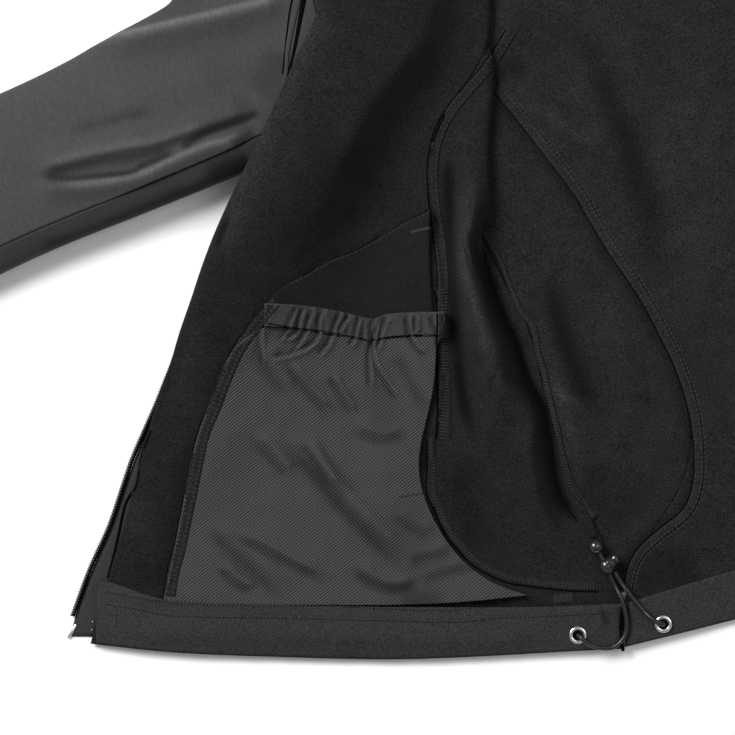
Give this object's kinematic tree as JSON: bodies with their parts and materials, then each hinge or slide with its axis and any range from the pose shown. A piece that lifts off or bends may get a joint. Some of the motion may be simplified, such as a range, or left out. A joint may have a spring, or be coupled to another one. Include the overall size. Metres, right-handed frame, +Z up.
{
  "type": "softshell jacket",
  "caption": "Dark grey softshell jacket laid flat and unzipped, one front thrown open to show the fleece inside, mesh pocket, hem facing and hem drawcord.",
  "frame": {"origin": "centre of the bounding box on the table the jacket lies on", "axes": "+X across the jacket towards its closed left half, +Y from the hem towards the neck, +Z up from the table"},
  "size_m": [1.2476, 0.8398, 0.034],
  "materials": {
    "softshell": "matt woven shell with a faint cross-dyed grain",
    "fleece": "short matt fleece nap",
    "pocket_bag": "matt brushed knit",
    "mesh_knit": "bird's-eye mesh knit with a slight sheen",
    "casing": "gathered elastic casing, matt",
    "zip_tape": "woven tape",
    "zip_coil": "satin moulded coil",
    "black_plastic": "gloss",
    "cord": "smooth elastic cord with a sheen",
    "silver": "polished"
  },
  "bodies": {
    "jacket": {"back": "fleece", "side_back_right": "fleece", "side_back_left": "fleece", "sleeve_upper_right": "softshell", "sleeve_under_right": "softshell", "zip_tape_right": "zip_tape", "zip_coil_right": "zip_coil", "zip_pin": "silver", "front_right": "fleece", "side_front_right": "fleece", "pocket_bag_right": "pocket_bag", "mesh_pocket_right": "mesh_knit", "pocket_casing_right": "casing", "hem_facing_front_right": "softshell", "hem_facing_back": "softshell", "eyelet_left": "silver", "eyelet_right": "silver", "loop_tab": "casing", "cord_lock": "black_plastic", "cord_bead": "black_plastic", "drawcord_left": "cord", "drawcord_right": "cord", "drawcord_end": "cord", "zip_tape_left": "zip_tape", "zip_coil_left": "zip_coil", "front_left": "softshell", "side_front_left": "softshell", "pocket_welt_left": "softshell", "sleeve_upper_left": "softshell", "sleeve_under_left": "softshell", "collar_back": "fleece", "collar_left": "softshell", "collar_right": "fleece", "zip_box": "black_plastic", "zip_slider": "black_plastic"},
    "pull": {"zip_pull": "black_plastic"},
    "button": {"cord_lock_button": "black_plastic"}
  },
  "joints": [
    {"name": "pull_hinge", "type": "hinge", "parent": "jacket", "child": "pull", "pos_m": [0.02886, -0.37507, 0.0095], "axis": [-1, 0, 0], "range_deg": [0, 180]},
    {"name": "lock_press", "type": "slide", "parent": "jacket", "child": "button", "axis": [-0.9397, -0.342, 0], "range_m": [0, 0.0025], "stiffness_N_per_m": 800}
  ]
}
